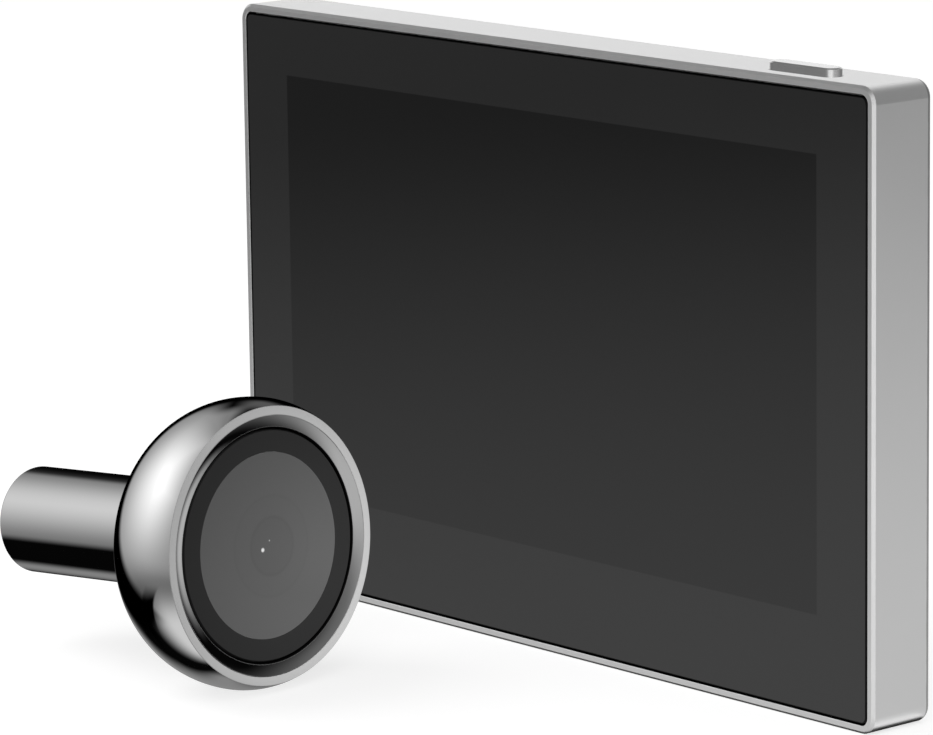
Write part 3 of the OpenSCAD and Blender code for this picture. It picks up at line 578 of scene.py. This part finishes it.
def dress(piece, slot, finish, *replaced):
    """Gives a new piece its finish and hides the nodes that it stands for."""
    piece.data.materials.clear()
    piece.data.materials.append(finishes[finish])
    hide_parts(*replaced)
    return piece


# Pieces turned anew: the bowl of the head, its dish, the disc, the window and the tube
# Rounding of their edges
HEAD_EDGE = 0.15 * MM
BEZEL_EDGE = 0.06 * MM
DISC_EDGE = 0.05 * MM
TUBE_EDGE = 0.5 * MM
TUBE_EDGE_STEPS = 8
# Room between pieces that fit into each other
FIT_GAP = 0.05 * MM
WIDE_R, WIDE_DEPTH = max((radius, depth - LIP_OFFSET) for depth, radius in turned("head_shell"))
HEAD_BACK = depths("head_shell")[1]
LIP_IN_R, LIP_R = radii("head_shell", 0)
COLLAR_R, BACK_R = radii("head_shell", HEAD_BACK)
BEZEL_BACK = depths("bezel_ring")[1]
BOARD_BACK = depths("lamp_board")[1]
BOARD_R = max(radius for depth, radius in turned("lamp_board")) + FIT_GAP
HEAD_WALL = 1.8 * MM
ARC_POINTS = 40
# The dish starts this far behind the lip
DISH_SINK = 0.02 * MM
# Groove between the disc and the dish; the dish's wall in it has painted black shade
GROOVE = 0.3 * MM
# The rim of the window lies close in the disc and a little below its front
WINDOW_GAP = 0.01 * MM
WINDOW_SINK = 0.04 * MM
WINDOW_SKIN = 1.2 * MM
DOME_POINTS = 24


def make_head():
    """The bowl: its lip, a curve out to its widest place and a round back with a hole for the tube."""
    front = [(WIDE_R - (WIDE_R - LIP_R) * (1 - i / ARC_POINTS) ** 2, WIDE_DEPTH * i / ARC_POINTS)
             for i in range(ARC_POINTS + 1)]
    back = arc((BACK_R, WIDE_DEPTH), (WIDE_R - BACK_R, HEAD_BACK - WIDE_DEPTH), 0, 90, ARC_POINTS)
    inner = arc((BACK_R - HEAD_WALL, BOARD_BACK),
                (BOARD_R - BACK_R, HEAD_BACK - HEAD_WALL - BOARD_BACK), 90, 0, ARC_POINTS // 2)
    lip = [(LIP_IN_R, BEZEL_BACK), (LIP_IN_R, 0)]
    hole = [(COLLAR_R, HEAD_BACK), (COLLAR_R, HEAD_BACK - HEAD_WALL)]
    seat = [(BOARD_R, BOARD_BACK), (BOARD_R, BEZEL_BACK)]
    outline = eased(lip + front + back[1:] + hole + inner + seat, HEAD_EDGE)
    return dress(turn("head_bowl", outline), "chrome", "chrome_head", "head_shell")


def make_bezel():
    """The dish that goes in from the lip to the disc."""
    inner = min(radius for depth, radius in turned("bezel_ring"))
    inner_depths = [depth for depth, radius in turned("bezel_ring") if radius < inner + SAME_PLANE]
    dish = min(inner_depths) - LIP_OFFSET
    outer = LIP_IN_R - FIT_GAP
    outline = [(outer, DISH_SINK), (outer, BEZEL_BACK), (inner, BEZEL_BACK), (inner, dish)]
    return dress(turn("bezel_dish", eased(outline, BEZEL_EDGE)), "chrome", "chrome_dish", "bezel_ring")


def make_disc():
    """The dark disc round the window, with a flange behind the dish."""
    front, back = depths("front_disc")
    inner, outer = radii("front_disc", front)
    flange = max(radius for depth, radius in turned("front_disc"))
    recess = radii("front_disc", back)[0]
    outline = [(inner, front), (outer - GROOVE, front), (outer, front + 2 * GROOVE), (outer, BEZEL_BACK),
               (flange, BEZEL_BACK), (flange, back), (recess, back), (recess, BEZEL_BACK),
               (inner, BEZEL_BACK)]
    piece = turn("disc_gloss", eased(outline, DISC_EDGE))
    return dress(piece, "black_gloss", "black_gloss", "front_disc")


def make_window():
    """The domed window, hollow behind, with a flange behind the disc."""
    front, back = depths("window")
    rim = radii("front_disc", DISC_FACE)[0] - WINDOW_GAP
    rim_depth = DISC_FACE + WINDOW_SINK
    flange = max(radius for depth, radius in turned("window"))
    recess = radii("window", back)[0]
    flange_front = BEZEL_BACK + FIT_GAP
    inside = rim_depth + WINDOW_SKIN
    dome = [(rim * i / DOME_POINTS, front + (rim_depth - front) * (i / DOME_POINTS) ** 2)
            for i in range(DOME_POINTS + 1)]
    outline = dome + [(rim, flange_front), (flange, flange_front), (flange, back), (recess, back),
                      (recess, inside), (0, inside)]
    return dress(turn("window_dome", outline), "smoked_window", "smoked_window", "window")


def make_tube():
    """The tube with its flange inside the head, its collar and its bore."""
    front, back = depths("tube")
    flange = max(radius for depth, radius in turned("tube"))
    flange_back = max(d for d, r in turned("tube") if r > flange - SAME_PLANE) - LIP_OFFSET
    bore = min(radius for depth, radius in turned("tube"))
    thread = radii("tube", back)[0]
    thread_front = back - mounts["tube_thread"]["dims"]["length_mm"] * MM
    outer = mounts["door_tube"]["dims"]["r_mm"] * MM
    collar = COLLAR_R - FIT_GAP
    collar_back = depths("rear_ring")[1]
    outline = [(bore, front), (flange, front), (flange, flange_back), (collar, flange_back),
               (collar, collar_back), (outer, collar_back), (outer, back), (thread, back),
               (thread, thread_front), (bore, thread_front)]
    piece = turn("tube_polished", eased(outline, TUBE_EDGE, TUBE_EDGE_STEPS))
    return dress(piece, "chrome", "chrome_tube", "tube")


head = make_head()
bezel = make_bezel()
tube = make_tube()
polished = [head, bezel, tube]
disc = make_disc()
window = make_window()

# Polished faces mirror the panels alone, as in the photograph
for piece in bpy.context.scene.objects:
    piece.visible_glossy = False


# Stage: a white floor, a soft white tent for the satin metal, and the panels that polished metal mirrors
ROOM_BLACK = 0.002
FLOOR_SIZE = 8.0
FLOOR_DROP = 0.05 * MM
# Radii of the spheres; each differs, so that none lies on another
BOWL_ROOM_SIZE = 1.5
TUBE_ROOM_SIZE = 1.6
DISH_ROOM_SIZE = 1.7
TENT_SIZE = 1.8
# The floor's own white before the camera, and its paint, which takes the shadow
FLOOR_GLOW = 0.74
FLOOR_COLOR = grey(0.4)
# The floor as glass and satin metal mirror it: a pool of light with its middle on the right
POOL_CENTRE = (0.3, -0.1, 0.0)
POOL_NEAR = 0.1
POOL_FAR = 0.8
POOL_BRIGHT = 0.92
POOL_DIM = 0.2
# The mirrored floor has a painted shadow under the screen unit and a painted glow beside its ends
SHADE_START = 0.1 * MM
SHADE_FULL = 0.5 * MM
FRONT_SHADE = 0.2 * MM
SIDE_GLOW = 0.5
SIDE_GLOW_REACH = 4 * MM


def make_stage_material(name):
    """A material without a shader, with its nodes and the socket for its surface."""
    material = bpy.data.materials.new(name)
    material.use_nodes = True
    tree = material.node_tree
    tree.nodes.remove(tree.nodes["Principled BSDF"])
    return material, tree, tree.nodes["Material Output"].inputs["Surface"]


def mirrored_floor(tree):
    """Brightness of the floor as glass and satin metal mirror it, with a painted shadow under the screen
    unit and a painted glow beside its ends.
    """
    places = tree.nodes.new("ShaderNodeTexCoord").outputs["Object"]
    away = join(tree, "ShaderNodeVectorMath", {0: places, 1: POOL_CENTRE}, operation="DISTANCE")
    pool = ramp(tree, away.outputs["Value"], POOL_NEAR, POOL_FAR, POOL_BRIGHT, POOL_DIM)
    split = join(tree, "ShaderNodeSeparateXYZ", {0: places}).outputs
    half_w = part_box("frame")[1].x
    half_d = -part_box("frame")[0].y
    beside = math_node(tree, "ABSOLUTE", split["X"])
    ahead = math_node(tree, "ABSOLUTE", split["Y"])
    # Painted glow beside the ends of the screen unit
    beside_end = math_node(tree, "MULTIPLY", ramp(tree, beside, half_w + SIDE_GLOW_REACH, half_w),
                           ramp(tree, ahead, half_d, half_d - SHADE_FULL))
    near_side = math_node(tree, "MULTIPLY_ADD", beside_end, SIDE_GLOW, 1.0)
    # Painted shadow under the screen unit
    under = math_node(tree, "MULTIPLY", ramp(tree, beside, half_w - SHADE_START, half_w - SHADE_FULL),
                      ramp(tree, ahead, half_d, half_d - FRONT_SHADE))
    lit = math_node(tree, "MULTIPLY", pool, near_side)
    return math_node(tree, "MULTIPLY", lit, math_node(tree, "SUBTRACT", 1.0, under))


def make_floor():
    """White with the object's shadow for the camera, and a pool of light for glossy rays."""
    bpy.ops.object.select_all(action="DESELECT")
    bpy.ops.mesh.primitive_grid_add(x_subdivisions=4, y_subdivisions=4, size=FLOOR_SIZE,
                                    location=(0, 0, -FLOOR_DROP))
    floor = bpy.context.object
    floor.name = "floor"
    material, tree, surface = make_stage_material("floor_white")
    path = tree.nodes.new("ShaderNodeLightPath").outputs
    seen = math_node(tree, "MAXIMUM", path["Is Camera Ray"], path["Is Transmission Ray"])
    paint = join(tree, "ShaderNodeBsdfDiffuse", {"Color": FLOOR_COLOR})
    white = math_node(tree, "MULTIPLY", seen, FLOOR_GLOW)
    glow = join(tree, "ShaderNodeEmission", {"Strength": white})
    shown = join(tree, "ShaderNodeAddShader", {0: paint.outputs[0], 1: glow.outputs[0]})
    clear = tree.nodes.new("ShaderNodeBsdfTransparent")
    mirrored = join(tree, "ShaderNodeEmission", {"Strength": mirrored_floor(tree)})
    in_metal = join(tree, "ShaderNodeAddShader", {0: clear.outputs[0], 1: mirrored.outputs[0]})
    chosen = join(tree, "ShaderNodeMixShader", {
        0: path["Is Glossy Ray"], 1: shown.outputs[0], 2: in_metal.outputs[0]})
    tree.links.new(chosen.outputs[0], surface)
    material.cycles.emission_sampling = "NONE"
    floor.data.materials.append(material)
    return floor


HALF_TURN = 180.0


def make_panel_group():
    """Brightness of a soft-edged panel on a surrounding sphere, by direction."""
    group, given, result = new_group("soft_panel", [
        ("Azimuth", "Float", 0.0), ("Elevation", "Float", 0.0),
        ("Centre Azimuth", "Float", 0.0), ("Centre Elevation", "Float", 0.0),
        ("Half Width", "Float", 30.0), ("Half Height", "Float", 20.0),
        ("Side Softness", "Float", 8.0), ("End Softness", "Float", 8.0),
        ("Lean", "Float", 0.0), ("Brightness", "Float", 1.0),
    ], [("Value", "Float")])
    over = math_node(group, "SUBTRACT", given["Elevation"], given["Centre Elevation"])
    leaned = math_node(group, "MULTIPLY_ADD", over, given["Lean"], given["Centre Azimuth"])
    turned_by = math_node(group, "SUBTRACT", given["Azimuth"], leaned)
    wrapped = math_node(group, "WRAP", turned_by, HALF_TURN, -HALF_TURN)
    aside = math_node(group, "ABSOLUTE", wrapped)
    above = math_node(group, "ABSOLUTE", over)
    masks = []
    for value, half, soft in ((aside, "Half Width", "Side Softness"),
                              (above, "Half Height", "End Softness")):
        outer = math_node(group, "ADD", given[half], given[soft])
        inner = math_node(group, "SUBTRACT", given[half], given[soft])
        masks.append(ramp(group, value, outer, inner))
    both = math_node(group, "MULTIPLY", masks[0], masks[1])
    group.links.new(math_node(group, "MULTIPLY", both, given["Brightness"]), result["Value"])
    return group


PANEL = make_panel_group()


def panel(at, half, soft, level, lean=0.0):
    """A soft panel: its azimuth and elevation, half sizes and soft edges in degrees, its level and lean.

    As a flag it takes away light, and its level is the share that it takes.
    """
    return {"Centre Azimuth": at[0], "Centre Elevation": at[1], "Half Width": half[0],
            "Half Height": half[1], "Side Softness": soft[0], "End Softness": soft[1],
            "Brightness": level, "Lean": lean}


def make_room(name, size, panels, flags=()):
    """A sphere of soft panels, darkened by black flags, that only mirror in the object."""
    bpy.ops.object.select_all(action="DESELECT")
    bpy.ops.mesh.primitive_uv_sphere_add(segments=96, ring_count=48, radius=size, location=LIP_PLACE)
    room = bpy.context.object
    room.name = name
    bpy.ops.object.shade_smooth()
    material, tree, surface = make_stage_material(name)
    places = tree.nodes.new("ShaderNodeTexCoord").outputs["Object"]
    unit = join(tree, "ShaderNodeVectorMath", {0: places}, operation="NORMALIZE").outputs[0]
    split = join(tree, "ShaderNodeSeparateXYZ", {0: unit}).outputs
    azimuth = math_node(tree, "DEGREES", math_node(tree, "ARCTAN2", split["Y"], split["X"]))
    elevation = math_node(tree, "DEGREES", math_node(tree, "ARCSINE", split["Z"]))
    total = ROOM_BLACK
    way = {"Azimuth": azimuth, "Elevation": elevation}
    for sizes in panels:
        value = place_group(tree, PANEL, {**way, **sizes})["Value"]
        total = math_node(tree, "ADD", value, total)
    for sizes in flags:
        value = place_group(tree, PANEL, {**way, **sizes})["Value"]
        total = math_node(tree, "MULTIPLY", math_node(tree, "SUBTRACT", 1.0, value), total)
    glow = join(tree, "ShaderNodeEmission", {"Strength": total})
    clear = tree.nodes.new("ShaderNodeBsdfTransparent")
    both = join(tree, "ShaderNodeAddShader", {0: clear.outputs[0], 1: glow.outputs[0]})
    tree.links.new(both.outputs[0], surface)
    material.cycles.emission_sampling = "NONE"
    room.data.materials.append(material)
    room.visible_camera = False
    room.visible_diffuse = False
    room.visible_shadow = False
    return room


def light_only(source, pieces, state):
    """Limits what a light or a panel lights: only these pieces, or all but these."""
    receivers = bpy.data.collections.new(source.name + "_receivers")
    for piece in pieces:
        receivers.objects.link(piece)
    for member in receivers.collection_objects:
        member.light_linking.link_state = state
    source.light_linking.receiver_collection = receivers


floor = make_floor()
light_only(floor, polished + [disc], "EXCLUDE")
# The tent: a grey dome, a brighter back left, strips for the frame's bevel and lip, and a grey flag
tent = make_room("soft_tent", TENT_SIZE, [
    panel(at=(0, 90), half=(200, 88), soft=(5, 5), level=0.35),
    panel(at=(140, 35), half=(42, 40), soft=(26, 30), level=0.8),
    panel(at=(310, 15), half=(25, 30), soft=(15, 15), level=0.7),
    panel(at=(222, 10), half=(18, 12), soft=(10, 6), level=0.3),
], flags=[
    panel(at=(195, 45), half=(20, 15), soft=(15, 15), level=0.6),
])
light_only(tent, polished + [disc, nodes["cover_glass"]], "EXCLUDE")

# The bowl: a soft box above left of the camera, plain light all round, the glow of the floor, a strip
# low on the left, dim light at the top and behind it, and two black flags that slant across the left
bowl_room = make_room("bowl_room", BOWL_ROOM_SIZE, [
    panel(at=(225, 38), half=(38, 26), soft=(42, 38), level=1.2),
    panel(at=(255, 40), half=(104, 60), soft=(8, 15), level=0.28),
    panel(at=(290, -60), half=(60, 27), soft=(32, 18), level=0.7),
    panel(at=(148, -45), half=(16, 28), soft=(14, 8), level=0.26),
    panel(at=(115, 32), half=(23, 10), soft=(6, 8), level=0.1),
    panel(at=(143, 65), half=(9, 20), soft=(8, 10), level=0.24),
    panel(at=(30, 10), half=(60, 80), soft=(20, 20), level=0.35),
], flags=[
    panel(at=(168, -10), half=(24, 30), soft=(8, 8), level=1.0, lean=-1.5),
    panel(at=(218, -34), half=(15, 8.5), soft=(3, 5), level=1.0, lean=2.1),
])
light_only(bowl_room, [head], "INCLUDE")

# The tube: a long soft box, a dimmer one with sharp ends, a strip low on the left, and plain light on
# the side turned from the camera
tube_room = make_room("tube_room", TUBE_ROOM_SIZE, [
    panel(at=(212, 30), half=(32, 30), soft=(35, 28), level=0.55),
    panel(at=(210, 10), half=(52, 33), soft=(5, 5), level=0.18),
    panel(at=(155, -40), half=(18, 12), soft=(10, 10), level=0.25),
    panel(at=(30, 20), half=(80, 60), soft=(20, 20), level=0.4),
])
light_only(tube_room, [tube], "INCLUDE")

# The dish: light from the right, dimmer above, a strip beside the screen, and plain light elsewhere
dish_room = make_room("dish_room", DISH_ROOM_SIZE, [
    panel(at=(18, -16), half=(28, 17), soft=(24, 12), level=0.48),
    panel(at=(25, 12), half=(25, 10), soft=(15, 12), level=0.15),
    panel(at=(86, -14), half=(8, 10), soft=(6, 8), level=0.5),
    panel(at=(230, 20), half=(100, 50), soft=(20, 20), level=0.4),
])
light_only(dish_room, [bezel], "INCLUDE")


def toward(azimuth, elevation):
    """The unit vector to a direction in degrees."""
    turn_by = math.radians(azimuth)
    lift = math.radians(elevation)
    level = math.cos(lift)
    return Vector((level * math.cos(turn_by), level * math.sin(turn_by), math.sin(lift)))


# Two studio lamps, one high on the left and one above the camera; sizes in metres, powers in watts
STUDIO_LAMP_SIZE = 0.6
KEY_LAMP_OFFSET = 0.9 * toward(225, 50)
KEY_LAMP_POWER = 3.0
FILL_LAMP_OFFSET = 1.0 * toward(320, 40)
FILL_LAMP_POWER = 2.0
# A small lamp close to the satin lip, on the side where the lip is brightest
LIP_LAMP_OFFSET = Vector((45 * MM, 26 * MM, -8 * MM))
LIP_LAMP_SIZE = 10 * MM
LIP_LAMP_POWER = 0.028
WORLD_LIGHT = 0.55


def add_lamp(name, target, offset, size, power):
    """A soft square lamp that stands off its target and faces it."""
    data = bpy.data.lights.new(name, "AREA")
    data.shape = "SQUARE"
    data.size = size
    data.energy = power
    lamp = bpy.data.objects.new(name, data)
    bpy.context.scene.collection.objects.link(lamp)
    lamp.location = target + offset
    lamp.rotation_euler = (-offset).to_track_quat("-Z", "Y").to_euler()
    lamp.visible_glossy = False
    return lamp


middle = (cad_box[0] + cad_box[1]) / 2
add_lamp("key_lamp", middle, KEY_LAMP_OFFSET, STUDIO_LAMP_SIZE, KEY_LAMP_POWER)
add_lamp("fill_lamp", middle, FILL_LAMP_OFFSET, STUDIO_LAMP_SIZE, FILL_LAMP_POWER)
lip_lamp = add_lamp("lip_lamp", LIP_PLACE, LIP_LAMP_OFFSET, LIP_LAMP_SIZE, LIP_LAMP_POWER)
lip_lamp.visible_camera = False
light_only(lip_lamp, [head, disc, window], "INCLUDE")

world = bpy.data.worlds.new("studio")
bpy.context.scene.world = world
world.use_nodes = True
background = world.node_tree.nodes["Background"].inputs
background["Color"].default_value = grey(1.0)
background["Strength"].default_value = WORLD_LIGHT
world.cycles_visibility.glossy = False

# Camera, fitted to the photograph: its place in metres, roll in radians, lens and sensor in millimetres
CAMERA_PLACE = Vector((0.54815, -0.49091, 0.18227))
CAMERA_LOOK = Vector((-0.74418, 0.6406, -0.18931))
CAMERA_ROLL = -0.0136
CAMERA_LENS = 204.67
SENSOR_WIDTH = 36.0
CLIP_START = 10 * MM

camera_data = bpy.data.cameras.new("camera")
camera_data.sensor_fit = "HORIZONTAL"
camera_data.sensor_width = SENSOR_WIDTH
camera_data.lens = CAMERA_LENS
camera_data.clip_start = CLIP_START
camera = bpy.data.objects.new("camera", camera_data)
bpy.context.scene.collection.objects.link(camera)
camera.location = CAMERA_PLACE
upright = CAMERA_LOOK.to_track_quat("-Z", "Y")
camera.rotation_euler = (upright @ Quaternion((0, 0, 1), CAMERA_ROLL)).to_euler()
bpy.context.scene.camera = camera
bpy.context.scene.view_settings.view_transform = "Standard"
